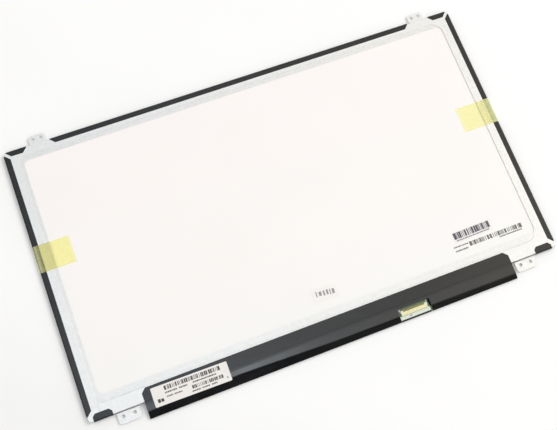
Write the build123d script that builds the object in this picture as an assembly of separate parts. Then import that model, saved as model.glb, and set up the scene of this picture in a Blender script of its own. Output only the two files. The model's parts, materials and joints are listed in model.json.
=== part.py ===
"""Slim laptop screen panel, a liquid-crystal module that lies on its screen with its back up.

Millimetres. X runs along the width, Y towards the top edge and Z from the screen to the back.
The origin is the middle of the body's outline, on the plane that the screen rests on.
"""
import os

from build123d import *

# Body outline, seen from the back
panel_width = 359.5
panel_height = 206.0
corner_radius = 2.2
edge_radius = 0.9

# Layers of the module, from the screen to the back
film_thickness = 0.06
polarizer_thickness = 0.18
glass_thickness = 0.4
gasket_thickness = 0.1
sheet_gap = 0.1
optical_sheets = ("upper_diffuser", "upper_prism_sheet", "lower_prism_sheet", "lower_diffuser")
optical_sheet_thickness = 0.12
guide_thickness = 0.55
reflector_thickness = 0.15
steel_thickness = 0.3
ledge_step = 0.2

# Insets of the layers from the body outline
film_inset = 1.2
polarizer_side_inset = 6.3
polarizer_top_inset = 4.4
polarizer_bottom_inset = 5.5
glass_inset = 1.0
driver_ledge = 3.2
gasket_width = 1.8
sheet_inset = 2.6
lip_clearance = 0.4
layer_clearance = 0.1

# Steel frame: folded wall, window in its back and the sunk ledge on three sides of that window
wall_height = 2.1
window_left = 12.5
window_right = 10.45
window_top = 10.7
window_bottom = 16.1
window_radius = 4.0
ledge_left = 3.05
ledge_top = 3.8
ledge_bottom = 5.8
ledge_slope = 0.6
ledge_corner = 3.0
ledge_end_inset = 1.0
ledge_end_radius = 8.0

# Screw tabs, stepped down from the back
tab_drop = 1.5
tab_tip_radius = 2.0
tab_bend_radius = 0.2
tab_relief = 1.0
screw_hole_diameter = 2.6
outer_hole_inset = 23.5
top_tab_width = 12.4
top_tab_reach = 6.75
top_hole_pitch = 6.0
top_hole_reach = 3.55
bottom_tab_width = 15.9
bottom_tab_reach = 7.9
bottom_hole_pitch = 8.0
bottom_hole_reach = 3.3

# Black tapes folded round the edges
tape_thickness = 0.06
tape_flange = 4.4
tape_chamfer = 3.3
tape_front_flange = 2.2
tape_front_radius = 0.25
top_tape_gap = 35.15
side_tape_top_gap = 3.0
side_tape_bottom_gap = 4.6
top_corner_tape_length = 15.2
top_corner_tape_gap = 2.3
bottom_tape_length = 13.7
bottom_tape_gap = 4.0
bottom_tape_flange = 5.2
bottom_tape_chamfer = 2.0

# Moulded frame inside the steel one
mould_rim_depth = 0.8

# Light bar along the bottom edge
led_count = 36
led_row_inset = 15.25
led_width = 3.0
led_depth = 1.0
led_gap = 0.05
flex_thickness = 0.12
flex_overlap = 2.0
tail_gap = 36.0
tail_width = 10.0
tail_bend_radius = 0.3

# Control board below the body, and the black film that covers it
board_overhang = 11.5
board_gap = 0.5
board_thickness = 0.7
board_end_inset = 0.9
tooling_hole_diameter = 1.6
tooling_hole_inset = 3.0
cover_left_gap = 39.85
cover_right_gap = 37.95
cover_thickness = 0.1
cover_overlap = 9.8
cover_chamfer = 3.2
cover_corner_radius = 1.0
crease_start = 0.75
crease_width = 0.25
crease_drop = 0.07
cover_fold = 1.45
fold_drop = 0.1
roll_drop = 0.32
roll_left = 6.5
roll_label = 4.8
roll_middle = 7.1
roll_right = 8.0
roll_radius = 6.0
cover_lip = 2.0
cover_bend_radius = 0.5
cover_clearance = 0.05
cutout_left = 12.1
cutout_right = 12.9
cutout_start = 2.0
flap_width = 1.1
flap_drop = 0.63
board_tape_reach = 1.0

# Driver films between the glass and the board
driver_count = 3
driver_film_width = 42.0
driver_film_taper = 4.0
driver_film_thickness = 0.06
driver_setback = 0.6
driver_bond = 2.6
driver_chip_width = 20.0
driver_chip_depth = 1.2
driver_chip_height = 0.3

# Signal connector on the board
plug_gap = 81.4
plug_start = 4.9
plug_depth = 2.6
plug_height = 1.1
plug_rear_wall = 0.6
plug_end_wall = 2.4
plug_floor = 0.25
plug_mouth_height = 0.55
plug_mouth_margin = 0.4
ear_width = 1.9
ear_reach = 1.1
contact_count = 30
contact_pitch = 0.5
contact_width = 0.22
contact_thickness = 0.12
contact_tail = 1.1
contact_setback = 0.3
lug_thickness = 0.12
lug_foot = 0.5
lug_cap = 1.2
lug_start = 2.1
lug_length = 3.5
pad_width = 23.2
pad_thickness = 0.05
pad_hole_diameter = 1.2
pad_hole_x = -3.7
pad_hole_setback = 1.4

# Other parts on the board
controller_gap = 38.0
controller_size = 5.5
controller_height = 0.85
controller_chamfer = 0.3
inductor_count = 2
inductor_gap = 30.0
inductor_pitch = 7.0
inductor_size = 4.0
inductor_height = 1.0
inductor_corner = 0.5
capacitor_rows = 2
capacitor_gap = 4.0
capacitor_pitch = 4.4
capacitor_row_pitch = 3.4
capacitor_length = 1.6
capacitor_width = 0.8
capacitor_height = 0.8
led_connector_start = 2.4
led_connector_depth = 3.4
led_connector_height = 0.95
led_connector_slot = 0.35
led_connector_wall = 1.2
tail_insertion = 1.6

# Labels and the yellow tapes that hold the screen film
label_thickness = 0.08
label_corner = 0.8
label_width = 55.2
label_gap = 6.0
label_above_edge = 7.4
label_below_edge = 6.3
label_turn = -0.65
barcode_width = 32.0
barcode_height = 8.8
barcode_gap = 45.1
barcode_rise = 16.4
barcode_turn = 0.8
lot_label_width = 19.5
lot_label_height = 10.5
lot_label_gap = 165.5
lot_label_rise = 11.5
lot_label_turn = -2.5
yellow_thickness = 0.05
yellow_width = 20.2
yellow_left_reach = 26.5
yellow_left_y = 17.8
yellow_right_reach = 28.6
yellow_right_y = 13.0
yellow_front_gap = 1.0
yellow_bridge = 1.2
yellow_lift = 0.02

# Heights that follow from the layers
film_top = film_thickness
front_polarizer_top = film_top + polarizer_thickness
colour_filter_top = front_polarizer_top + glass_thickness
tft_top = colour_filter_top + glass_thickness
rear_polarizer_top = tft_top + polarizer_thickness
shelf_z = tft_top + gasket_thickness
sheets_z = rear_polarizer_top + sheet_gap
guide_z = sheets_z + len(optical_sheets) * optical_sheet_thickness
reflector_z = guide_z + guide_thickness
reflector_top = reflector_z + reflector_thickness
ledge_z = reflector_top + steel_thickness
back_z = ledge_z + ledge_step
plate_z = back_z - steel_thickness
wall_z = back_z - wall_height
tab_z = back_z - tab_drop
board_z = colour_filter_top
board_top = board_z + board_thickness
mould_z = shelf_z - mould_rim_depth

# Places that follow from the outline
left_edge = -panel_width / 2
right_edge = panel_width / 2
top_edge = panel_height / 2
bottom_edge = -panel_height / 2
wall_inset = tape_thickness + steel_thickness
mould_inset = wall_inset + layer_clearance
pocket_inset = sheet_inset - layer_clearance
guide_bottom_inset = sheet_inset + led_depth + layer_clearance
flex_inset = guide_bottom_inset + flex_overlap
outer_hole_x = right_edge - outer_hole_inset
top_tab_x = outer_hole_x - top_hole_pitch / 2
bottom_tab_x = outer_hole_x - bottom_hole_pitch / 2
led_row = panel_width - 2 * led_row_inset
led_pitch = led_row / (led_count - 1)
cover_width = panel_width - cover_left_gap - cover_right_gap
cover_x = (cover_left_gap - cover_right_gap) / 2
cover_left = left_edge + cover_left_gap
cover_right = right_edge - cover_right_gap
cover_outside = board_overhang - cover_thickness
board_end = cover_outside - cover_clearance
board_width = cover_width - 2 * board_end_inset
tail_x = cover_left + tail_gap
tail_slot_z = board_top + led_connector_slot
plug_x = cover_right - plug_gap
plug_top = board_top + plug_height
plug_end = plug_start + plug_depth
ear_start = plug_start - ear_reach
contact_span = (contact_count - 1) * contact_pitch + contact_width
plug_mouth_width = contact_span + 2 * plug_mouth_margin
plug_width = plug_mouth_width + 2 * plug_end_wall
parts_middle = (board_gap + roll_middle) / 2
controller_x = plug_x - controller_gap
inductor_x = tail_x + inductor_gap
capacitor_x = inductor_x + inductor_count * inductor_pitch
capacitor_room = controller_x - controller_size / 2 - capacitor_gap - capacitor_x
capacitor_count = int(capacitor_room / capacitor_pitch)
label_x = cover_left + label_gap + label_width / 2
label_y = bottom_edge + (label_above_edge - label_below_edge) / 2
label_end = cover_left + 2 * label_gap + label_width


def outline(left, right, top, bottom, radius=0.0):
    """Plan of the body drawn in by an inset on each side."""
    width = panel_width - left - right
    height = panel_height - top - bottom
    centre = Pos((left - right) / 2, (bottom - top) / 2)
    plan = RectangleRounded(width, height, radius) if radius > 0 else Rectangle(width, height)
    return centre * plan


def inset(distance, radius=0.0):
    """Plan of the body drawn in evenly."""
    return outline(distance, distance, distance, distance, radius)


def slab(plan, low, high):
    """Plate of a plan between two heights."""
    return extrude(Pos(0, 0, low) * plan, amount=high - low)


def block(x0, x1, y0, y1, z0, z1):
    """Box between two corners."""
    size = Box(x1 - x0, y1 - y0, z1 - z0)
    return Pos((x0 + x1) / 2, (y0 + y1) / 2, (z0 + z1) / 2) * size


def board_block(x, width, start, end, low, high):
    """Box on the board, its start and end measured down from the body's bottom edge."""
    return block(x - width / 2, x + width / 2, bottom_edge - end, bottom_edge - start, low, high)


def strip_section(path, thickness, bends, lift=0.0):
    """Section of a sheet that lies along a path, lifted off it to the left, with its thickness on that side.

    bends holds the radius on the hollow side of each corner, 0 for a corner left sharp.
    """
    line = [Vector(*point) for point in path]
    normals = [(b - a).normalized().rotate(Axis.Z, 90) for a, b in zip(line, line[1:])]
    mitres = [(a + b) * (1 / (1 + a.dot(b))) for a, b in zip(normals, normals[1:])]
    shifts = [normals[0], *mitres, normals[-1]]
    points = [point + shift * lift for point, shift in zip(line, shifts)]
    far_points = [point + shift * thickness for point, shift in zip(points, shifts)]
    section = make_face(Polyline(*points, *reversed(far_points), close=True))
    for corner, radius in enumerate(bends, start=1):
        if radius == 0:
            continue
        turns_left = normals[corner - 1].cross(normals[corner]).Z > 0
        near_radius = radius + thickness if turns_left else radius
        far_radius = radius if turns_left else radius + thickness
        section = fillet(section.vertices().sort_by_distance(points[corner])[0], near_radius)
        section = fillet(section.vertices().sort_by_distance(far_points[corner])[0], far_radius)
    return section


def edge_strip(path, thickness, bends, length):
    """Folded strip along the top edge: the path is in distance outside the edge and height."""
    section = strip_section(path, thickness, bends)
    return extrude(Plane.YZ * section, amount=length / 2, both=True)


def at_edge(side):
    """Move that takes what is made on an edge along X, facing +Y, to one side of the body."""
    return {
        "top": Pos(0, top_edge, 0),
        "bottom": Pos(0, bottom_edge, 0) * Rot(0, 0, 180),
        "left": Pos(left_edge, 0, 0) * Rot(0, 0, 90),
        "right": Pos(right_edge, 0, 0) * Rot(0, 0, -90),
    }[side]


def picture_plan(growth):
    """Plan of the polarizing foils, grown evenly."""
    side = polarizer_side_inset - growth
    return outline(side, side, polarizer_top_inset - growth, polarizer_bottom_inset - growth)


def polarizer(low):
    """Polarizing foil of the picture area."""
    return slab(picture_plan(0), low, low + polarizer_thickness)


def colour_filter_glass():
    """Front glass, short of the driver ledge at the bottom."""
    plan = outline(glass_inset, glass_inset, glass_inset, glass_inset + driver_ledge)
    return slab(plan, front_polarizer_top, colour_filter_top)


def cell_gasket():
    """Adhesive ring between the rear glass and the moulded frame."""
    ring = inset(glass_inset) - inset(glass_inset + gasket_width)
    return slab(ring, tft_top, shelf_z)


def optical_sheet(place):
    """One of the loose sheets over the light guide, its place counted from the screen."""
    low = sheets_z + place * optical_sheet_thickness
    return slab(inset(sheet_inset), low, low + optical_sheet_thickness)


def light_guide_plate():
    """Light guide, cut back at the bottom for the row of light-emitting diodes."""
    plan = outline(sheet_inset, sheet_inset, sheet_inset, guide_bottom_inset)
    return slab(plan, guide_z, reflector_z)


def reflector_sheet():
    """White reflector, seen through the window; the light bar's circuit lies below its lower edge."""
    plan = outline(sheet_inset, sheet_inset, sheet_inset, flex_inset + layer_clearance)
    return slab(plan, reflector_z, reflector_top)


def side_leds():
    """Row of side-lit diodes that face the light guide."""
    span = (-sheet_inset - led_depth, -sheet_inset, guide_z + led_gap, reflector_z)
    return Compound([
        board_block(place * led_pitch - led_row / 2, led_width, *span) for place in range(led_count)
    ])


def tail_path():
    """Fold of the light bar's tail, from its circuit over the wall and down into its socket."""
    return [
        (-flex_inset, reflector_z),
        (layer_clearance, reflector_z),
        (led_connector_start - 2 * layer_clearance - flex_thickness, tail_slot_z),
        (led_connector_start + tail_insertion, tail_slot_z),
    ]


def led_flex():
    """Light bar's flexible circuit with its tail."""
    length = led_row + 2 * led_width
    strip = board_block(0, length, -flex_inset, -sheet_inset, reflector_z, reflector_z + flex_thickness)
    bends = [tail_bend_radius, tail_bend_radius]
    tail = at_edge("bottom") * edge_strip(tail_path(), flex_thickness, bends, tail_width)
    return strip + Pos(tail_x, 0, 0) * tail


def tail_passage(low, high):
    """Room for the tail where it leaves the body."""
    return board_block(tail_x, tail_width + 2 * layer_clearance, -sheet_inset, 0, low, high)


def mould_frame():
    """Moulded frame: a rim round the glass, a shelf, a pocket for the sheets, chamfered under the bent steel."""
    bend_room = edge_radius - steel_thickness
    body = slab(inset(mould_inset, corner_radius - mould_inset), mould_z, plate_z)
    body = chamfer(body.faces().sort_by(Axis.Z)[-1].outer_wire().edges(), bend_room)
    body -= slab(inset(glass_inset - layer_clearance), mould_z, shelf_z)
    body -= slab(picture_plan(lip_clearance), shelf_z, sheets_z)
    body -= slab(inset(pocket_inset), sheets_z, plate_z)
    rim_gap_top = board_z + layer_clearance
    body -= board_block(cover_x, board_width, -glass_inset, 0, mould_z, rim_gap_top)
    flex_top = reflector_z + flex_thickness + layer_clearance
    return body - tail_passage(reflector_z - layer_clearance, flex_top)


def ledge_plan(drawn_in):
    """Outline of the ledge's edge, drawn in; on the right it ends inside the window."""
    plan = outline(
        window_left - ledge_left + drawn_in,
        window_right + ledge_end_inset,
        window_top - ledge_top + drawn_in,
        window_bottom - ledge_bottom + drawn_in,
    )
    plan = fillet(plan.vertices().group_by(Axis.X)[0], ledge_corner - drawn_in)
    return fillet(plan.vertices().group_by(Axis.X)[-1], ledge_end_radius - drawn_in)


def joggle(top, bottom):
    """Block with sloping sides that sinks the ledge from one height to another."""
    sections = [Pos(0, 0, top) * ledge_plan(0), Pos(0, 0, bottom) * ledge_plan(ledge_slope)]
    return loft(sections, ruled=True)


def screw_tab(width, reach, hole_pitch, hole_reach):
    """Tab bent down from the back and out again, with two screw holes."""
    root = edge_radius + tape_thickness + steel_thickness
    path = [
        (-root - steel_thickness, plate_z),
        (-wall_inset, plate_z),
        (-wall_inset, tab_z - steel_thickness),
        (reach, tab_z - steel_thickness),
    ]
    tab = edge_strip(path, steel_thickness, [tab_bend_radius] * 2, width)
    tab = fillet(tab.edges().filter_by(Axis.Z).group_by(Axis.Y)[-1], tab_tip_radius)
    for side in (-1, 1):
        hole = Cylinder(screw_hole_diameter / 2, 4 * steel_thickness)
        tab -= Pos(side * hole_pitch / 2, hole_reach, tab_z - steel_thickness / 2) * hole
    return tab


def tab_clearance(width):
    """What is cut from the folded wall for a tab and the relief notches at its root."""
    half = width / 2 + tab_relief
    depth = edge_radius + tape_thickness
    return block(-half, half, -depth, depth, wall_z, back_z)


def rear_frame():
    """Pressed steel back: folded wall, window with a sunk ledge and four screw tabs."""
    shell = slab(inset(tape_thickness, corner_radius), wall_z, back_z)
    shell = fillet(shell.faces().sort_by(Axis.Z)[-1].outer_wire().edges(), edge_radius)
    hollow = slab(inset(wall_inset, corner_radius - steel_thickness), wall_z, plate_z)
    hollow = fillet(hollow.faces().sort_by(Axis.Z)[-1].outer_wire().edges(), edge_radius - steel_thickness)
    frame = shell - hollow
    frame += joggle(plate_z, reflector_top)
    frame -= joggle(back_z, ledge_z)
    window = outline(window_left, window_right, window_top, window_bottom, window_radius)
    frame -= slab(window, reflector_top, back_z)
    frame -= tail_passage(wall_z, reflector_z + flex_thickness + layer_clearance)
    top_tab = (top_tab_width, top_tab_reach, top_hole_pitch, top_hole_reach)
    bottom_tab = (bottom_tab_width, bottom_tab_reach, bottom_hole_pitch, bottom_hole_reach)
    for hand in (-1, 1):
        for side, x, size in (("top", top_tab_x, top_tab), ("bottom", bottom_tab_x, bottom_tab)):
            place = Pos(hand * x, 0, 0) * at_edge(side)
            frame -= place * tab_clearance(size[0])
            frame += place * screw_tab(*size)
    return frame


def edge_tape(side, length, flange, chamfer):
    """Black tape from the back, round the edge, to the border of the front glass."""
    path = [
        (-flange, back_z),
        (-tape_thickness, back_z),
        (-tape_thickness, front_polarizer_top),
        (-tape_thickness - tape_front_flange, front_polarizer_top),
    ]
    tape = edge_strip(path, tape_thickness, [edge_radius, tape_front_radius], length)
    for hand in (-1, 1):
        corner = Polyline(
            (hand * length / 2, -flange),
            (hand * (length / 2 - chamfer), -flange),
            (hand * length / 2, chamfer - flange),
            close=True,
        )
        tape -= slab(make_face(corner), back_z, back_z + tape_thickness)
    return at_edge(side) * tape


def control_board():
    """Circuit board along the bottom edge, with tooling holes and a hole in front of the connector."""
    board = board_block(cover_x, board_width, board_gap, board_end, board_z, board_top)
    middle = bottom_edge - (board_gap + board_end) / 2
    for hand in (-1, 1):
        hole = Cylinder(tooling_hole_diameter / 2, 4 * board_thickness)
        board -= Pos(cover_x + hand * (board_width / 2 - tooling_hole_inset), middle, board_top) * hole
    return board - pad_hole()


def pad_hole():
    """Hole through the ground pad and the board."""
    hole = Cylinder(pad_hole_diameter / 2, 4 * board_thickness)
    return Pos(plug_x + pad_hole_x, bottom_edge - plug_end - pad_hole_setback, board_top) * hole


def ground_pad():
    """Tinned strip on the board between the connector's mouth and the tape on the board's edge."""
    span = (plug_end + layer_clearance, cover_outside - board_tape_reach - layer_clearance)
    return board_block(plug_x, pad_width, *span, board_top, board_top + pad_thickness) - pad_hole()


def connector_housing():
    """Moulded receptacle with an ear at each end, a mouth to the board's edge and a slot for the contacts."""
    floor = board_top + plug_floor
    contacts_top = floor + contact_thickness
    mouth = (floor, floor + plug_mouth_height)
    housing = board_block(plug_x, plug_width, plug_start, plug_end, board_top, plug_top)
    for hand in (-1, 1):
        ear_x = plug_x + hand * (plug_width - ear_width) / 2
        housing += board_block(ear_x, ear_width, ear_start, plug_start, board_top, plug_top)
    housing -= board_block(plug_x, plug_mouth_width, plug_start + plug_rear_wall, plug_end, *mouth)
    return housing - board_block(plug_x, plug_mouth_width, plug_start, plug_end, floor, contacts_top)


def connector_contacts():
    """Row of contacts: a soldered tail on the board and a blade on the floor of the mouth."""
    rear = plug_start - layer_clearance
    path = [
        (rear - contact_tail, board_top),
        (rear - plug_floor, board_top),
        (rear, board_top + plug_floor),
        (plug_end - contact_setback, board_top + plug_floor),
    ]
    contact = at_edge("bottom") * edge_strip(path, contact_thickness, [0, 0], contact_width)
    first = plug_x - (contact_count - 1) * contact_pitch / 2
    return Compound([Pos(first + place * contact_pitch, 0, 0) * contact for place in range(contact_count)])


def connector_lugs():
    """Metal lugs over the receptacle's ears, with feet soldered to the board behind and beside them."""
    half = plug_width / 2 + layer_clearance
    path = [(-half - lug_foot, board_top), (-half, board_top), (-half, plug_top), (lug_cap - half, plug_top)]
    section = strip_section(path, lug_thickness, [layer_clearance] * 2)
    lug = Pos(0, bottom_edge - lug_start, 0) * extrude(Plane.XZ * section, amount=lug_length)
    foot_top = board_top + lug_thickness
    lug -= board_block(0, 2 * (half + lug_foot), lug_start, ear_start, foot_top, plug_top + lug_thickness)
    return Pos(plug_x, 0, 0) * Compound([lug, mirror(lug, Plane.YZ)])


def driver_places():
    """Middles of the driver films along the board."""
    pitch = board_width / driver_count
    return [cover_x + (place - (driver_count - 1) / 2) * pitch for place in range(driver_count)]


def driver_films():
    """Films that carry the picture signals from the board to the ledge of the rear glass."""
    low = board_z - driver_film_thickness
    glass_end = bottom_edge + glass_inset + driver_ledge - driver_setback
    board_bond = bottom_edge - board_gap - driver_bond
    wide = driver_film_width / 2
    narrow = wide - driver_film_taper
    films = []
    for x in driver_places():
        corners = [
            (x - wide, glass_end),
            (x + wide, glass_end),
            (x + narrow, board_bond),
            (x - narrow, board_bond),
        ]
        films.append(slab(make_face(Polyline(*corners, close=True)), low, board_z))
    return Compound(films)


def driver_chips():
    """Bare driver chip on the front of each driver film, between the glass and the board."""
    high = board_z - driver_film_thickness
    middle = (board_gap - glass_inset) / 2
    span = (middle - driver_chip_depth / 2, middle + driver_chip_depth / 2, high - driver_chip_height, high)
    return Compound([board_block(x, driver_chip_width, *span) for x in driver_places()])


def timing_controller():
    """Flat square chip that drives the picture."""
    span = (parts_middle - controller_size / 2, parts_middle + controller_size / 2)
    chip = board_block(controller_x, controller_size, *span, board_top, board_top + controller_height)
    return chamfer(chip.edges().filter_by(Axis.Z), controller_chamfer)


def power_inductors():
    """Square coils of the board's power supply."""
    span = (parts_middle - inductor_size / 2, parts_middle + inductor_size / 2)
    coils = []
    for place in range(inductor_count):
        x = inductor_x + place * inductor_pitch
        coil = board_block(x, inductor_size, *span, board_top, board_top + inductor_height)
        coils.append(fillet(coil.edges().filter_by(Axis.Z), inductor_corner))
    return Compound(coils)


def chip_capacitors():
    """Rows of small capacitors along the board."""
    pieces = []
    for row in range(capacitor_rows):
        centre = parts_middle + (row - (capacitor_rows - 1) / 2) * capacitor_row_pitch
        span = (centre - capacitor_width / 2, centre + capacitor_width / 2)
        for place in range(capacitor_count):
            x = capacitor_x + place * capacitor_pitch
            pieces.append(board_block(x, capacitor_length, *span, board_top, board_top + capacitor_height))
    return Compound(pieces)


def led_connector():
    """Socket that takes the light bar's tail."""
    end = led_connector_start + led_connector_depth
    width = tail_width + 2 * led_connector_wall
    socket = board_block(tail_x, width, led_connector_start, end, board_top, board_top + led_connector_height)
    slot_end = led_connector_start + tail_insertion + layer_clearance
    slot = (led_connector_start, slot_end, tail_slot_z, tail_slot_z + flex_thickness)
    return socket - board_block(tail_x, tail_width + 2 * layer_clearance, *slot)


def cover_path(roll):
    """Line that the cover film's underside follows down to the board's edge: crease, fold and roll."""
    return [
        (-cover_overlap, back_z),
        (-crease_start, back_z),
        (crease_width - crease_start, back_z - crease_drop),
        (cover_fold, back_z - fold_drop),
        (roll, back_z - roll_drop),
        (cover_outside, board_top + cover_clearance),
    ]


def edge_path():
    """Line that a sheet's inner side follows down the board's edge and under it."""
    under_z = board_z - cover_clearance
    return [(cover_outside, under_z), (board_end - cover_lip, under_z)]


def lofted_strip(sections):
    """Strip along the bottom edge through sections, each with its place along the edge."""
    placed = [Pos(-x, 0, 0) * (Plane.YZ * section) for x, section in sections]
    return at_edge("bottom") * loft(placed, ruled=True)


def cover_plan():
    """Outline of the cover film from the back, its upper corners cut off and rounded."""
    height = cover_overlap + 2 * board_overhang
    plan = Pos(cover_x, bottom_edge + cover_overlap - height / 2) * Rectangle(cover_width, height)
    plan = chamfer(plan.vertices().group_by(Axis.Y)[-1], cover_chamfer)
    return fillet(plan.vertices().sort_by(Axis.Y)[2:], cover_corner_radius)


def board_cover_film():
    """Black film stuck to the back, led over the board and round its lower edge, cut out at the connector."""
    bends = [cover_bend_radius] * 3 + [roll_radius] + [cover_clearance] * 2
    stations = [
        (cover_left - cover_corner_radius, roll_left),
        (label_end, roll_label),
        (cover_x, roll_middle),
        (cover_right + cover_corner_radius, roll_right),
    ]
    film = lofted_strip([
        (x, strip_section([*cover_path(roll), *edge_path()], cover_thickness, bends)) for x, roll in stations
    ])
    film &= slab(cover_plan(), 0, back_z + cover_thickness)
    cutout_x = plug_x + (cutout_right - cutout_left) / 2
    cutout_width = cutout_left + cutout_right
    film -= board_block(cutout_x, cutout_width, cutout_start, board_overhang, 0, back_z + cover_thickness)
    return film + cutout_flap()


def cutout_flap():
    """Strip that bends down along the cut-out's right side, rooted in the middle of the film's thickness."""
    hinge = plug_x + cutout_right
    sections = []
    for out, drop in ((cutout_start, fold_drop), (roll_middle, roll_drop)):
        height = back_z - drop - cover_thickness / 2
        tip = (hinge - flap_width, height - flap_drop)
        path = [tip, (hinge, height), (hinge + cover_thickness, height)]
        section = strip_section(path, cover_thickness, [0])
        sections.append(Pos(0, bottom_edge - out, 0) * (Plane.XZ * section))
    return loft(sections, ruled=True)


def board_edge_tape():
    """Black tape folded round the board's edge in front of the connector."""
    path = [(cover_outside - board_tape_reach, board_top), (cover_outside, board_top), *edge_path()]
    tape = at_edge("bottom") * edge_strip(path, cover_thickness, [cover_clearance] * 2, pad_width)
    return Pos(plug_x, 0, 0) * tape


def rating_label():
    """Paper label that follows the cover film over its creases, stuck on a little askew."""
    outer_bend = cover_bend_radius + cover_thickness
    bends = [outer_bend, cover_bend_radius - label_thickness, outer_bend, roll_radius + cover_thickness]
    sheet = lofted_strip([
        (x, strip_section(cover_path(roll), label_thickness, bends, cover_thickness))
        for x, roll in ((cover_left, roll_left), (label_end, roll_label))
    ])
    plan = RectangleRounded(label_width, label_above_edge + label_below_edge, label_corner)
    place = Pos(label_x, label_y) * Rot(0, 0, label_turn)
    return sheet & slab(place * plan, board_top, back_z + cover_thickness + label_thickness)


def window_label(width, height, gap, rise, turn):
    """Paper label on the reflector, its middle measured from the window's right and bottom edges."""
    plan = Rot(0, 0, turn) * RectangleRounded(width, height, label_corner)
    place = Pos(right_edge - window_right - gap, bottom_edge + window_bottom + rise)
    return slab(place * plan, reflector_top, reflector_top + label_thickness)


def yellow_tape(side, window_inset, climb, reach, y):
    """Clear yellow tape from the reflector, up the frame and round the edge, to the screen film.

    climb lists the frame's steps as distance outside the edge and height.
    """
    back = [
        (-reach, reflector_top),
        (-window_inset - yellow_bridge, reflector_top),
        *climb,
        (-tape_flange - yellow_lift, back_z),
        (-tape_flange, back_z + tape_thickness),
        (yellow_lift, back_z + tape_thickness),
    ]
    front_z = film_top + yellow_thickness
    path = [(out, height + yellow_lift) for out, height in back]
    path += [(yellow_lift, front_z), (yellow_front_gap - polarizer_side_inset, front_z)]
    bends = [0] * (len(back) - 2) + [edge_radius + tape_thickness, tape_front_radius]
    return Pos(0, y, 0) * at_edge(side) * edge_strip(path, yellow_thickness, bends, yellow_width)


ledge_outside = ledge_left - window_left
left_climb = [
    (yellow_lift - window_left, ledge_z),
    (ledge_outside - ledge_slope, ledge_z),
    (ledge_outside, back_z),
]
right_climb = [(yellow_lift - window_right, back_z)]
barcode_size = (barcode_width, barcode_height, barcode_gap, barcode_rise, barcode_turn)
lot_label_size = (lot_label_width, lot_label_height, lot_label_gap, lot_label_rise, lot_label_turn)
parts = {
    "front_protective_film": slab(inset(film_inset, corner_radius), 0, film_top),
    "front_polarizer": polarizer(film_top),
    "colour_filter_glass": colour_filter_glass(),
    "tft_glass": slab(inset(glass_inset), colour_filter_top, tft_top),
    "rear_polarizer": polarizer(tft_top),
    "cell_gasket": cell_gasket(),
    "light_guide_plate": light_guide_plate(),
    "reflector_sheet": reflector_sheet(),
    "side_leds": side_leds(),
    "led_flex": led_flex(),
    "mould_frame": mould_frame(),
    "rear_frame": rear_frame(),
    "edge_tape_top": edge_tape("top", panel_width - 2 * top_tape_gap, tape_flange, tape_chamfer),
    "control_board": control_board(),
    "ground_pad": ground_pad(),
    "connector_housing": connector_housing(),
    "connector_contacts": connector_contacts(),
    "connector_lugs": connector_lugs(),
    "driver_films": driver_films(),
    "driver_chips": driver_chips(),
    "timing_controller": timing_controller(),
    "power_inductors": power_inductors(),
    "chip_capacitors": chip_capacitors(),
    "led_connector": led_connector(),
    "board_cover_film": board_cover_film(),
    "board_edge_tape": board_edge_tape(),
    "rating_label": rating_label(),
    "barcode_label": window_label(*barcode_size),
    "lot_label": window_label(*lot_label_size),
    "yellow_tape_left": yellow_tape("left", window_left, left_climb, yellow_left_reach, yellow_left_y),
    "yellow_tape_right": yellow_tape("right", window_right, right_climb, yellow_right_reach, yellow_right_y),
}
for place, name in enumerate(optical_sheets):
    parts[name] = optical_sheet(place)

side_tape_length = panel_height - side_tape_top_gap - side_tape_bottom_gap
side_tape_y = (side_tape_bottom_gap - side_tape_top_gap) / 2
top_corner_tape_x = right_edge - top_corner_tape_gap - top_corner_tape_length / 2
bottom_tape_x = right_edge - bottom_tape_gap - bottom_tape_length / 2
for side, hand in (("left", -1), ("right", 1)):
    side_tape = edge_tape(side, side_tape_length, tape_flange, tape_chamfer)
    top_corner_tape = edge_tape("top", top_corner_tape_length, tape_flange, tape_chamfer)
    bottom_tape = edge_tape("bottom", bottom_tape_length, bottom_tape_flange, bottom_tape_chamfer)
    parts[f"edge_tape_{side}"] = Pos(0, side_tape_y, 0) * side_tape
    parts[f"edge_tape_top_{side}"] = Pos(hand * top_corner_tape_x, 0, 0) * top_corner_tape
    parts[f"edge_tape_bottom_{side}"] = Pos(hand * bottom_tape_x, 0, 0) * bottom_tape

os.makedirs("parts", exist_ok=True)
for name, shape in parts.items():
    export_step(shape, f"parts/{name}.step")
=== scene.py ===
"""Look of a slim laptop screen panel that lies on its screen: materials, print, floor, light and camera."""
import json
import math
import random

import bpy
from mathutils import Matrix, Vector
from mathutils.bvhtree import BVHTree


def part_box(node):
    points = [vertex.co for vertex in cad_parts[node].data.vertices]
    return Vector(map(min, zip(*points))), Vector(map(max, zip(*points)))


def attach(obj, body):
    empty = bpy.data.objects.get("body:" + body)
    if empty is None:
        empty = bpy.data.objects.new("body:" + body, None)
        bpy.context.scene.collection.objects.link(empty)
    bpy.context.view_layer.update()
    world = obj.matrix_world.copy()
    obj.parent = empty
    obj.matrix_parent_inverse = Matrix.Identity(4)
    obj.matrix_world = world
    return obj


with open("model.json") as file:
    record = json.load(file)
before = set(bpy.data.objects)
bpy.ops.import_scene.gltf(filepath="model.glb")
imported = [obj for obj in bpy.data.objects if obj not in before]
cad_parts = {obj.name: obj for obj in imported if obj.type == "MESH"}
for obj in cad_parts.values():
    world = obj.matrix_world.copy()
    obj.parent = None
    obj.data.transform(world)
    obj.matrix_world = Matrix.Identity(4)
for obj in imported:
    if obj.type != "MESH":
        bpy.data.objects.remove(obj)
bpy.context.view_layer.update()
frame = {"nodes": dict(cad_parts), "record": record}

MM = 0.001
ROOT = "root"

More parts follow.
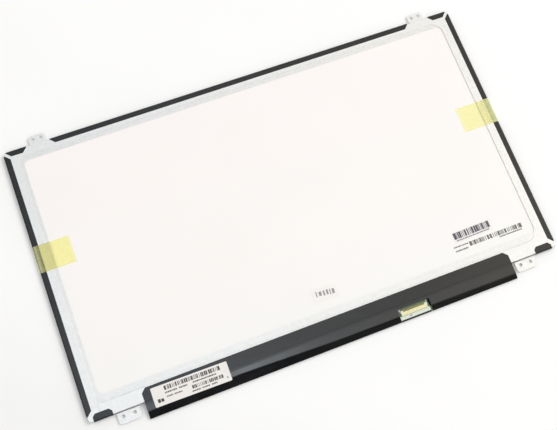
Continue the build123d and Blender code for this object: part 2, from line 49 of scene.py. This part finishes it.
# Camera: place, lens and sensor in millimetres, turn in degrees
CAMERA_PLACE = (-97.35, -160.65, 617.66)
CAMERA_TURN = (15.7635, -4.2812, -21.2018)
CAMERA_LENS = 56.377
CAMERA_SENSOR = 36
CAMERA_SHIFT = -0.0394
CAMERA_NEAR = 10.0

# Sky in mirrors: its level by a direction's lean to the panel's upper edge, and its highest level
SKY_LEVELS = (
    (-0.8, 0.3), (-0.5, 0.18), (-0.36, 0.02), (-0.26, 0.05), (-0.20, 0.4),
    (-0.12, 1.2), (-0.05, 1.55), (0.01, 1.55), (0.06, 1.2), (0.1, 1.02),
    (0.2, 0.98), (0.3, 0.88), (0.4, 0.87), (0.6, 0.7), (0.9, 0.5),
)
SKY_TOP = 9.0

# Soft spots in that sky: middle, the distances at which each begins and ends to fade, and the added level
SKY_SPOTS = (
    ((0.025, -0.045, 0.9987), 0.04, 0.078, 3.2),
    ((0.025, -0.045, 0.9987), 0.05, 0.20, 0.8),
    ((0.68, -0.12, 0.72), 0.25, 0.55, 0.8),
    ((-0.3, 0.45, 0.84), 0.1, 0.3, -0.6),
    ((-0.85, 0.0, 0.5), 0.35, 0.6, -1.6),
)

# Tints of that sky to the left and right, and the lean to the right over which one turns into the other
COOL_SKY = (0.90, 1.0, 1.09)
WARM_SKY = (0.92, 0.86, 0.76)
WARMTH_SPAN = (-0.05, 0.4)

# Sky on matt surfaces: the side that it leans to, and its levels on the far side and on that side
MATT_LEAN = (0.45, 0.89, 0.0)
MATT_LEVELS = (0.695, 0.86)

# Lamp, in metres and watts
KEY_PLACE = (2.6, 0.3, 2.6)
KEY_SIZE = 1.85
KEY_POWER = 57.0
KEY_COLOUR = (1.0, 0.985, 0.96)

# Floor: half its width in metres, and its share of white by the sum of X and Y in millimetres, a painted shade
# darker to the lower left
FLOOR_HALF = 2.5
FLOOR_SHADE = ((-290.0, 0.955), (-190.0, 1.0))

# Painted shade on the steel, in millimetres: heights of the sunk ledge, darkened as painted shade, line of the
# left bend, darkened as painted shade, and line and ends of the painted shadow along the edge at the lower
# tabs' roots, each with its soft edge and the share of its colour that is left
LEDGE_SHADE_HEIGHTS = (2.6, 2.85)
LEDGE_SHADE_SOFT = 0.04
LEDGE_SHADE_SHARE = 0.965
BEND_SHADE_LINE = (-170.4, -169.6)
BEND_SHADE_SOFT = 0.1
BEND_SHADE_SHARE = 0.92
# Painted shadow: a dark line along the lower edge at the tabs' roots
FOOT_SHADOW_LINE = (-103.1, -102.35)
FOOT_SHADOW_SOFT = 0.1
FOOT_SHADOW_SHARE = 0.35
FOOT_SHADOW_ENDS = (-164.0, 164.0)
FOOT_SHADOW_ENDS_SOFT = 2.0

# Tint of the reflector along Y, in millimetres
SHEET_TINT = ((-88.0, (0.985, 1.01, 1.01)), (60.0, (1.0, 1.0, 1.0)))

# Yellow tapes along X, in millimetres: how milky they are, partly real milkiness and partly painted reflection
# where they lift over the black strips, and their tints, which fade at the inner ends; the left tape's tint
# over the steel is darkened as painted shade
YELLOW_HAZE_AND_SHEEN = (
    (-181.0, 0.17), (-178.9, 0.19), (-178.2, 0.30), (-177.6, 0.30), (-177.0, 0.18), (-175.6, 0.16),
    (-174.8, 0.07),
    (172.6, 0.07), (173.4, 0.42), (175.2, 0.42), (175.7, 0.22), (176.3, 0.22), (177.1, 0.46), (181.0, 0.48),
)
# Left tape's tint over the steel is darker as painted shade
LEFT_ON_STEEL_SHADED = (0.955, 0.94, 0.77)
LEFT_ON_SHEET = (1.0, 0.993, 0.833)
LEFT_END = (1.0, 1.0, 0.93)
RIGHT_END = (1.0, 1.0, 0.97)
RIGHT_ON_SHEET = (1.0, 0.995, 0.863)
RIGHT_ON_STEEL = (0.99, 0.975, 0.833)
YELLOW_TINT = (
    (-181.0, LEFT_ON_STEEL_SHADED), (-167.9, LEFT_ON_STEEL_SHADED), (-166.4, LEFT_ON_SHEET), (-155.0, LEFT_ON_SHEET),
    (-153.2, LEFT_END), (151.1, RIGHT_END), (153.8, RIGHT_ON_SHEET), (168.4, RIGHT_ON_SHEET),
    (169.9, RIGHT_ON_STEEL), (181.0, RIGHT_ON_STEEL),
)

# Print, in millimetres and degrees: height of ink over its carrier, longest step of an ink strip, labels' turns
INK_LIFT = 0.015
INK_STEP = 0.5
LABEL_TURN = -0.65
BARCODE_TURN = 0.8
LOT_TURN = -4.0


def new_material(name):
    """Material with its node tree and its main shader."""
    material = bpy.data.materials.new(name)
    material.use_nodes = True
    tree = material.node_tree
    return material, tree, tree.nodes["Principled BSDF"]


def add_node(tree, kind, **values):
    """Node with its properties or unlinked inputs set by name."""
    node = tree.nodes.new(kind)
    for key, value in values.items():
        if hasattr(node, key):
            setattr(node, key, value)
        else:
            node.inputs[key].default_value = value
    return node


def object_coordinates(tree, stretch=(1, 1, 1)):
    """Place on the part, in millimetres, stretched along each axis."""
    place = add_node(tree, "ShaderNodeTexCoord")
    mapping = add_node(tree, "ShaderNodeMapping")
    mapping.inputs["Scale"].default_value = [factor / MM for factor in stretch]
    tree.links.new(place.outputs["Object"], mapping.inputs["Vector"])
    return mapping.outputs["Vector"]


def along(tree, axis):
    """Place on the part along one axis, in millimetres."""
    parts = add_node(tree, "ShaderNodeSeparateXYZ")
    tree.links.new(object_coordinates(tree), parts.inputs["Vector"])
    return parts.outputs[axis]


def noise(tree, size, stretch=(1, 1, 1)):
    """Noise whose blotches are about size millimetres wide."""
    texture = add_node(tree, "ShaderNodeTexNoise", Detail=3.0, Scale=1 / size)
    tree.links.new(object_coordinates(tree, stretch), texture.inputs["Vector"])
    return texture.outputs["Fac"]


def between(tree, factor, low, high, start=0.3, end=0.7):
    """Value that runs from low to high as the factor runs from start to end, and stays between them."""
    spread = add_node(tree, "ShaderNodeMapRange")
    for name, value in (("From Min", start), ("From Max", end), ("To Min", low), ("To Max", high)):
        spread.inputs[name].default_value = value
    tree.links.new(factor, spread.inputs["Value"])
    return spread.outputs["Result"]


def by_steps(tree, value, steps):
    """Level or colour that follows a value through a list of places, each with its level or colour."""
    start, end = steps[0][0], steps[-1][0]
    ramp = add_node(tree, "ShaderNodeValToRGB")
    stops = ramp.color_ramp.elements
    while len(stops) < len(steps):
        stops.new(1.0)
    for stop, (place, level) in zip(stops, steps):
        stop.position = (place - start) / (end - start)
        stop.color = (*level, 1) if isinstance(level, tuple) else (level, level, level, 1)
    tree.links.new(between(tree, value, 0.0, 1.0, start, end), ramp.inputs["Fac"])
    return ramp.outputs["Color"]


def combine(tree, operation, first, second):
    """Two values joined by a sum, product or other operation."""
    joined = add_node(tree, "ShaderNodeMath", operation=operation)
    tree.links.new(first, joined.inputs[0])
    tree.links.new(second, joined.inputs[1])
    return joined.outputs["Value"]


def band(tree, value, start, end, soft):
    """One between start and end, falling to nought over a soft edge outside them."""
    rise = between(tree, value, 0.0, 1.0, start - soft, start)
    fall = between(tree, value, 1.0, 0.0, end, end + soft)
    return combine(tree, "MULTIPLY", rise, fall)


def dimmed(tree, colour, share):
    """Colour times a share."""
    dimmer = add_node(tree, "ShaderNodeVectorMath", operation="SCALE", Scale=share)
    tree.links.new(colour, dimmer.inputs[0])
    return dimmer.outputs["Vector"]


def times(tree, first, second):
    """Product of two colours or levels."""
    product = add_node(tree, "ShaderNodeVectorMath", operation="MULTIPLY")
    tree.links.new(first, product.inputs[0])
    tree.links.new(second, product.inputs[1])
    return product.outputs["Vector"]


def mix_colours(tree, factor, first, second):
    """Colour between two, each a tuple or a socket."""
    mixer = add_node(tree, "ShaderNodeMix", data_type="RGBA")
    tree.links.new(factor, mixer.inputs["Factor"])
    for socket, colour in ((mixer.inputs[6], first), (mixer.inputs[7], second)):
        if isinstance(colour, tuple):
            socket.default_value = (*colour, 1)
        else:
            tree.links.new(colour, socket)
    return mixer.outputs[2]


def add_bump(tree, shader, height, depth):
    """Bump from a height between 0 and 1 that stands for a depth in millimetres."""
    bump = add_node(tree, "ShaderNodeBump", Strength=1.0, Distance=depth * MM)
    tree.links.new(height, bump.inputs["Height"])
    tree.links.new(bump.outputs["Normal"], shader.inputs["Normal"])


def surface(
    name, dark, light, blotch, grain, depth, roughness, metallic=0.0, stretch=(1, 1, 1), specular=0.5,
):
    """Surface with blotches between two colours, and a grain in its gloss and in its height."""
    material, tree, shader = new_material(name)
    shader.inputs["Metallic"].default_value = metallic
    shader.inputs["Specular IOR Level"].default_value = specular
    patches = between(tree, noise(tree, blotch), 0.0, 1.0)
    tree.links.new(mix_colours(tree, patches, dark, light), shader.inputs["Base Color"])
    fine = noise(tree, grain, stretch)
    tree.links.new(between(tree, fine, *roughness), shader.inputs["Roughness"])
    add_bump(tree, shader, fine, depth)
    return material


def base_colour(material):
    """A surface's node tree, the socket of its colour and what is linked to it."""
    tree = material.node_tree
    socket = tree.nodes["Principled BSDF"].inputs["Base Color"]
    return tree, socket, socket.links[0].from_socket


def frame_steel_material():
    """Bare steel sheet: faint clouds, painted shade on its pressed step round the window and its left fold
    line, and a painted shadow line at the lower tabs' roots.
    """
    material = surface(
        "frame_steel", dark=(0.865, 0.86, 0.85), light=(0.935, 0.93, 0.92), blotch=1.8, grain=0.8,
        depth=0.004, roughness=(0.36, 0.5), metallic=0.5,
    )
    tree, socket, steel = base_colour(material)
    # Painted shade: the sunk ledge and the left bend line are darkened in the steel's colour
    ledge_shade = band(tree, along(tree, "Z"), *LEDGE_SHADE_HEIGHTS, LEDGE_SHADE_SOFT)
    bend_shade = band(tree, along(tree, "X"), *BEND_SHADE_LINE, BEND_SHADE_SOFT)
    # Painted shadow line along the lower edge at the tabs' roots, between its two ends
    foot_shadow_line = band(tree, along(tree, "Y"), *FOOT_SHADOW_LINE, FOOT_SHADOW_SOFT)
    foot_shadow = combine(tree, "MULTIPLY", foot_shadow_line, band(tree, along(tree, "X"), *FOOT_SHADOW_ENDS, FOOT_SHADOW_ENDS_SOFT))
    for where, share in ((ledge_shade, LEDGE_SHADE_SHARE), (bend_shade, BEND_SHADE_SHARE), (foot_shadow, FOOT_SHADOW_SHARE)):
        steel = mix_colours(tree, where, steel, dimmed(tree, steel, share))
    tree.links.new(steel, socket)
    return material


def reflector_material():
    """White plastic sheet, faintly rosy at its upper part."""
    material = surface(
        "reflector_white", dark=(0.92, 0.882, 0.862), light=(0.935, 0.897, 0.877), blotch=60.0, grain=2.0,
        depth=0.002, roughness=(0.45, 0.6), specular=0.3,
    )
    tree, socket, white = base_colour(material)
    tree.links.new(times(tree, white, by_steps(tree, along(tree, "Y"), SHEET_TINT)), socket)
    return material


def floor_material():
    """White floor with a painted shade, a little darker to the lower left."""
    material = surface(
        "floor", dark=(0.94, 0.94, 0.935), light=(0.955, 0.955, 0.95), blotch=80.0, grain=5.0, depth=0.01,
        roughness=(0.7, 0.9),
    )
    tree, socket, white = base_colour(material)
    slant = combine(tree, "ADD", along(tree, "X"), along(tree, "Y"))
    tree.links.new(times(tree, white, by_steps(tree, slant, FLOOR_SHADE)), socket)
    return material


def yellow_tape_material():
    """Clear yellow tape: tinted where it sticks, with painted shade in its tint over the left steel; milky
    where air is under it, partly painted reflection over the black strips.
    """
    material, tree, shader = new_material("yellow_tape")
    shader.inputs["Roughness"].default_value = 0.25
    creases = noise(tree, 5.0, stretch=(1, 0.35, 1))
    add_bump(tree, shader, creases, depth=0.05)
    milky_and_sheen = mix_colours(tree, creases, (0.92, 0.94, 0.50), (0.96, 0.97, 0.60))
    tree.links.new(milky_and_sheen, shader.inputs["Base Color"])
    across = along(tree, "X")
    patches = between(tree, noise(tree, 3.0), 0.85, 1.15)
    # Milkiness by place: partly real, partly painted reflection where the tapes lift over the black strips
    haze = combine(tree, "MULTIPLY", by_steps(tree, across, YELLOW_HAZE_AND_SHEEN), patches)
    clear = add_node(tree, "ShaderNodeBsdfTransparent")
    tree.links.new(by_steps(tree, across, YELLOW_TINT), clear.inputs["Color"])
    mixer = add_node(tree, "ShaderNodeMixShader")
    tree.links.new(haze, mixer.inputs["Fac"])
    tree.links.new(clear.outputs["BSDF"], mixer.inputs[1])
    tree.links.new(shader.outputs["BSDF"], mixer.inputs[2])
    tree.links.new(mixer.outputs["Shader"], tree.nodes["Material Output"].inputs["Surface"])
    return material


def clear_material(name, colour, alpha, roughness):
    """Clear film that lets light through."""
    material, tree, shader = new_material(name)
    shader.inputs["Roughness"].default_value = roughness
    tint = tuple(0.9 * part for part in colour)
    tree.links.new(mix_colours(tree, noise(tree, 30.0), tint, colour), shader.inputs["Base Color"])
    haze = noise(tree, 12.0)
    tree.links.new(between(tree, haze, alpha, 1.15 * alpha), shader.inputs["Alpha"])
    return material


# Plain surfaces: the two colours of their blotches; size of blotches, size of grain and depth of grain in
# millimetres; range of roughness
SURFACES = {
    "black_tape": dict(
        dark=(0.006, 0.006, 0.007), light=(0.012, 0.012, 0.012), blotch=9.0, grain=0.6, depth=0.01,
        roughness=(0.24, 0.34), specular=0.6,
    ),
    "black_film": dict(
        dark=(0.003, 0.003, 0.004), light=(0.006, 0.006, 0.006), blotch=22.0, grain=6.0, depth=0.05,
        roughness=(0.15, 0.22), stretch=(0.3, 1, 1), specular=0.65,
    ),
    "dull_black": dict(
        dark=(0.006, 0.008, 0.006), light=(0.012, 0.014, 0.011), blotch=6.0, grain=0.6, depth=0.01,
        roughness=(0.35, 0.5), specular=0.35,
    ),
    "label_paper": dict(
        dark=(0.82, 0.79, 0.76), light=(0.86, 0.83, 0.80), blotch=8.0, grain=0.25, depth=0.01,
        roughness=(0.6, 0.8),
    ),
    "white_paper": dict(
        dark=(0.88, 0.85, 0.83), light=(0.91, 0.88, 0.86), blotch=8.0, grain=0.25, depth=0.01,
        roughness=(0.6, 0.8),
    ),
    "board_green": dict(
        dark=(0.11, 0.16, 0.085), light=(0.19, 0.24, 0.135), blotch=1.5, grain=0.5, depth=0.02,
        roughness=(0.3, 0.5),
    ),
    "tinned_metal": dict(
        dark=(0.68, 0.74, 0.66), light=(0.80, 0.85, 0.78), blotch=1.2, grain=0.5, depth=0.02,
        roughness=(0.35, 0.55), metallic=0.6,
    ),
    "cream_plastic": dict(
        dark=(0.78, 0.73, 0.42), light=(0.84, 0.80, 0.51), blotch=2.0, grain=0.4, depth=0.01,
        roughness=(0.4, 0.55),
    ),
    "gold_contact": dict(
        dark=(0.45, 0.32, 0.10), light=(0.62, 0.46, 0.18), blotch=0.8, grain=0.3, depth=0.005,
        roughness=(0.25, 0.4), metallic=0.9,
    ),
    "mould_white": dict(
        dark=(0.78, 0.78, 0.76), light=(0.84, 0.84, 0.82), blotch=10.0, grain=0.4, depth=0.01,
        roughness=(0.4, 0.55),
    ),
    "polarizer": dict(
        dark=(0.012, 0.012, 0.015), light=(0.018, 0.018, 0.022), blotch=40.0, grain=0.4, depth=0.004,
        roughness=(0.18, 0.3),
    ),
    "cell_glass": dict(
        dark=(0.02, 0.022, 0.022), light=(0.03, 0.034, 0.033), blotch=30.0, grain=3.0, depth=0.001,
        roughness=(0.06, 0.12),
    ),
    "sheet_film": dict(
        dark=(0.84, 0.84, 0.84), light=(0.9, 0.9, 0.9), blotch=20.0, grain=0.5, depth=0.004,
        roughness=(0.35, 0.5),
    ),
    "light_guide": dict(
        dark=(0.8, 0.84, 0.84), light=(0.86, 0.9, 0.9), blotch=20.0, grain=0.8, depth=0.004,
        roughness=(0.12, 0.25),
    ),
    "led_white": dict(
        dark=(0.85, 0.8, 0.5), light=(0.9, 0.87, 0.62), blotch=1.0, grain=0.3, depth=0.004,
        roughness=(0.3, 0.5),
    ),
    "flex_circuit": dict(
        dark=(0.45, 0.24, 0.05), light=(0.6, 0.34, 0.09), blotch=3.0, grain=0.4, depth=0.01,
        roughness=(0.25, 0.4),
    ),
    "chip_black": dict(
        dark=(0.016, 0.016, 0.018), light=(0.024, 0.024, 0.026), blotch=2.0, grain=0.15, depth=0.01,
        roughness=(0.4, 0.6),
    ),
    "ferrite": dict(
        dark=(0.13, 0.11, 0.09), light=(0.2, 0.17, 0.13), blotch=0.8, grain=0.15, depth=0.01,
        roughness=(0.45, 0.65),
    ),
}

# Inks: the two colours of their blotches
INKS = {
    "ink": ((0.045, 0.042, 0.045), (0.09, 0.085, 0.088)),
    "violet_ink": ((0.075, 0.065, 0.085), (0.13, 0.115, 0.14)),
    "olive_ink": ((0.12, 0.115, 0.095), (0.2, 0.19, 0.16)),
    "grey_ink": ((0.26, 0.26, 0.255), (0.36, 0.36, 0.35)),
}

MATERIALS = {name: surface(name, **look) for name, look in SURFACES.items()}
for name, (dark, light) in INKS.items():
    MATERIALS[name] = surface(name, dark, light, blotch=1.2, grain=0.3, depth=0.002, roughness=(0.5, 0.7))
MATERIALS["frame_steel"] = frame_steel_material()
MATERIALS["reflector_white"] = reflector_material()
MATERIALS["yellow_tape"] = yellow_tape_material()
MATERIALS["clear_film"] = clear_material("clear_film", (0.85, 0.88, 0.9), alpha=0.12, roughness=0.12)

# Nodes that look a little different from the rest of their material
OWN_LOOK = {"barcode_label": "white_paper", "lot_label": "white_paper", "board_edge_tape": "dull_black"}

slot_of = {row["node"]: row["material_slot"] for row in frame["record"]["subparts"]}
for name, node in frame["nodes"].items():
    node.data.materials.clear()
    node.data.materials.append(MATERIALS[OWN_LOOK.get(name, slot_of[name])])


def barcode(corner, width, height, bars, ink, seed):
    """Upright bars over a share of a field, uneven and heavy at both ends, from its upper left corner."""
    draw = random.Random(seed)
    solid = [draw.choice((1, 1, 2, 3)) for _ in range(bars)]
    solid[0] = solid[-1] = 4
    blank = [draw.choice((1, 1, 2, 3)) for _ in range(bars - 1)] + [0]
    solid_unit = width * ink / sum(solid)
    blank_unit = width * (1 - ink) / sum(blank)
    marks = []
    x, y = corner
    for bar, gap in zip(solid, blank):
        marks.append((x, y - height, x + solid_unit * bar, y))
        x += solid_unit * bar + blank_unit * gap
    return marks


def dashes(corner, width, height, count, seed):
    """Row of plain dashes that stands for a line of small print, from its upper left corner."""
    draw = random.Random(seed)
    shares = [draw.choice((2, 3, 4, 5)) for _ in range(count)]
    gap = 0.25 * height
    unit = (width - gap * (count - 1)) / sum(shares)
    marks = []
    x, y = corner
    for share in shares:
        marks.append((x, y - height, x + unit * share, y))
        x += unit * share + gap
    return marks


def print_on(carrier, name, marks, origin, turn, ink):
    """Ink marks, in millimetres from an origin, laid on a node's upper side as one thin piece."""
    tree = BVHTree.FromPolygons(
        [vertex.co for vertex in frame["nodes"][carrier].data.vertices],
        [face.vertices for face in frame["nodes"][carrier].data.polygons],
    )
    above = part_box(carrier)[1].z + 1.0
    cosine, sine = math.cos(math.radians(turn)), math.sin(math.radians(turn))

    def on_carrier(x, y):
        across = origin[0] + cosine * x - sine * y
        up = origin[1] + sine * x + cosine * y
        hit = tree.ray_cast(Vector((across * MM, up * MM, above)), Vector((0, 0, -1)))[0]
        return (across * MM, up * MM, hit.z + INK_LIFT * MM)

    points, faces = [], []
    for x0, y0, x1, y1 in marks:
        steps = math.ceil((y1 - y0) / INK_STEP)
        first = len(points)
        for step in range(steps + 1):
            y = y0 + (y1 - y0) * step / steps
            points += [on_carrier(x0, y), on_carrier(x1, y)]
        faces += [
            (first + 2 * step, first + 2 * step + 1, first + 2 * step + 3, first + 2 * step + 2)
            for step in range(steps)
        ]
    mesh = bpy.data.meshes.new(name)
    mesh.from_pydata(points, [], faces)
    mesh.materials.append(MATERIALS[ink])
    piece = bpy.data.objects.new(name, mesh)
    bpy.context.scene.collection.objects.link(piece)
    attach(piece, ROOT)
    return piece


def middle_of(node):
    """Middle of a node's box, in millimetres."""
    low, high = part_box(node)
    return ((low.x + high.x) / (2 * MM), (low.y + high.y) / (2 * MM))


# Print on the paper label: generic stripes, dashes and plain blocks, placed from its middle
SIGN_BLOCKS = [(-24.9, -4.4, -23.0, -1.9), (-22.6, -4.4, -20.7, -2.2), (24.8, -4.4, 25.5, -3.4)]
label_marks = [
    *barcode((-18.4, 5.6), width=40.2, height=3.0, bars=34, ink=0.58, seed=3),
    *SIGN_BLOCKS,
    *dashes((-18.7, 1.3), width=8.5, height=1.0, count=8, seed=3),
    *dashes((-8.7, 1.3), width=6.0, height=1.0, count=6, seed=5),
    *dashes((1.3, 1.5), width=17.0, height=0.9, count=15, seed=7),
    *dashes((-18.2, -1.6), width=4.5, height=0.9, count=5, seed=3),
    *dashes((-12.7, -1.6), width=5.5, height=0.9, count=6, seed=5),
    *barcode((0.0, -0.8), width=22.4, height=2.4, bars=21, ink=0.58, seed=8),
    *dashes((-0.7, -4.3), width=6.0, height=0.9, count=6, seed=5),
    *dashes((6.3, -4.3), width=5.5, height=0.9, count=6, seed=2),
    *dashes((13.3, -4.3), width=4.0, height=0.9, count=4, seed=9),
]
label_middle = middle_of("rating_label")
print_on("rating_label", "label_print", label_marks, label_middle, LABEL_TURN, "ink")

# Print on the two small labels, placed from their middles
barcode_middle = middle_of("barcode_label")
barcode_marks = barcode((-15.0, 3.6), width=29.3, height=5.0, bars=20, ink=0.7, seed=3)
digit_marks = dashes((-14.0, -2.1), width=27.0, height=1.0, count=12, seed=5)
for print_name, marks, ink in (
    ("barcode_print", barcode_marks, "violet_ink"),
    ("barcode_digits", digit_marks, "grey_ink"),
):
    print_on("barcode_label", print_name, marks, barcode_middle, BARCODE_TURN, ink)
LOT_BLOCKS = [
    (-6.4, -1.3, -5.6, 2.7), (-4.2, -0.9, -2.2, 2.1), (-1.0, -1.5, 0.2, 2.3),
    (1.4, -1.3, 2.8, 2.3), (3.8, -1.9, 4.6, 2.1), (5.6, -1.7, 7.4, 1.9),
]
print_on("lot_label", "lot_print", LOT_BLOCKS, middle_of("lot_label"), LOT_TURN, "grey_ink")

# Print on the reflector, placed from the panel's middle
sheet_marks = [
    *barcode((118.4, -76.8), width=43.0, height=3.4, bars=30, ink=0.62, seed=7),
    *dashes((141.8, -80.9), width=18.7, height=1.0, count=16, seed=3),
    *dashes((106.0, -77.0), width=11.5, height=1.0, count=10, seed=5),
    *dashes((106.4, -80.0), width=10.0, height=1.2, count=9, seed=3),
]
print_on("reflector_sheet", "sheet_print", sheet_marks, (0, 0), 0.0, "olive_ink")


def add_floor():
    """Floor that takes the shadow."""
    half = FLOOR_HALF
    mesh = bpy.data.meshes.new("floor")
    corners = [(-half, -half, 0), (half, -half, 0), (half, half, 0), (-half, half, 0)]
    mesh.from_pydata(corners, [], [(0, 1, 2, 3)])
    mesh.materials.append(floor_material())
    floor = bpy.data.objects.new("floor", mesh)
    bpy.context.scene.collection.objects.link(floor)


def lean(tree, side):
    """How far a direction of the sky leans to a side."""
    view = add_node(tree, "ShaderNodeTexCoord")
    share = add_node(tree, "ShaderNodeVectorMath", operation="DOT_PRODUCT")
    tree.links.new(view.outputs["Generated"], share.inputs[0])
    share.inputs[1].default_value = side
    return share.outputs["Value"]


def mirrored_level(tree):
    """Level of the sky in mirrors: a broad soft front with brighter and darker spots, never below nought."""
    level = by_steps(tree, lean(tree, (0.0, 1.0, 0.0)), SKY_LEVELS)
    for middle, near, far, extra in SKY_SPOTS:
        view = add_node(tree, "ShaderNodeTexCoord")
        apart = add_node(tree, "ShaderNodeVectorMath", operation="DISTANCE")
        tree.links.new(view.outputs["Generated"], apart.inputs[0])
        apart.inputs[1].default_value = middle
        level = combine(tree, "ADD", level, between(tree, apart.outputs["Value"], extra, 0.0, near, far))
    return between(tree, level, 0.0, SKY_TOP, 0.0, SKY_TOP)


def add_world():
    """Soft sky with one look where it is seen, one where it is mirrored and one where it lights."""
    world = bpy.data.worlds.new("studio")
    world.use_nodes = True
    tree = world.node_tree
    seen = tree.nodes["Background"]
    seen.inputs["Color"].default_value = (1, 1, 1, 1)
    lit = add_node(tree, "ShaderNodeBackground")
    tree.links.new(between(tree, lean(tree, MATT_LEAN), *MATT_LEVELS, -1.0, 1.0), lit.inputs["Color"])
    mirrored = add_node(tree, "ShaderNodeBackground")
    warmth = between(tree, lean(tree, (1.0, 0.0, 0.0)), 0.0, 1.0, *WARMTH_SPAN)
    tinted = times(tree, mirrored_level(tree), mix_colours(tree, warmth, COOL_SKY, WARM_SKY))
    tree.links.new(tinted, mirrored.inputs["Color"])
    rays = add_node(tree, "ShaderNodeLightPath")
    unseen = add_node(tree, "ShaderNodeMixShader")
    tree.links.new(rays.outputs["Is Glossy Ray"], unseen.inputs["Fac"])
    tree.links.new(lit.outputs["Background"], unseen.inputs[1])
    tree.links.new(mirrored.outputs["Background"], unseen.inputs[2])
    mixer = add_node(tree, "ShaderNodeMixShader")
    direct = combine(tree, "MAXIMUM", rays.outputs["Is Camera Ray"], rays.outputs["Is Transmission Ray"])
    tree.links.new(direct, mixer.inputs["Fac"])
    tree.links.new(unseen.outputs["Shader"], mixer.inputs[1])
    tree.links.new(seen.outputs["Background"], mixer.inputs[2])
    tree.links.new(mixer.outputs["Shader"], tree.nodes["World Output"].inputs["Surface"])
    bpy.context.scene.world = world


def add_lamp(name, place, size, power, colour):
    """Square soft lamp aimed at the panel's middle."""
    data = bpy.data.lights.new(name, "AREA")
    data.shape = "SQUARE"
    data.size = size
    data.energy = power
    data.color = colour
    lamp = bpy.data.objects.new(name, data)
    lamp.location = place
    lamp.rotation_euler = (-Vector(place)).to_track_quat("-Z", "Y").to_euler()
    lamp.visible_glossy = False
    bpy.context.scene.collection.objects.link(lamp)


def add_camera():
    """Camera at the photograph's angle."""
    data = bpy.data.cameras.new("camera")
    data.lens = CAMERA_LENS
    data.sensor_width = CAMERA_SENSOR
    data.sensor_fit = "HORIZONTAL"
    data.shift_x = CAMERA_SHIFT
    data.clip_start = CAMERA_NEAR * MM
    camera = bpy.data.objects.new("camera", data)
    camera.location = [part * MM for part in CAMERA_PLACE]
    camera.rotation_euler = [math.radians(angle) for angle in CAMERA_TURN]
    bpy.context.scene.collection.objects.link(camera)
    bpy.context.scene.camera = camera


add_floor()
add_world()
add_lamp("key", KEY_PLACE, KEY_SIZE, KEY_POWER, KEY_COLOUR)
add_camera()
bpy.context.scene.view_settings.view_transform = "Standard"
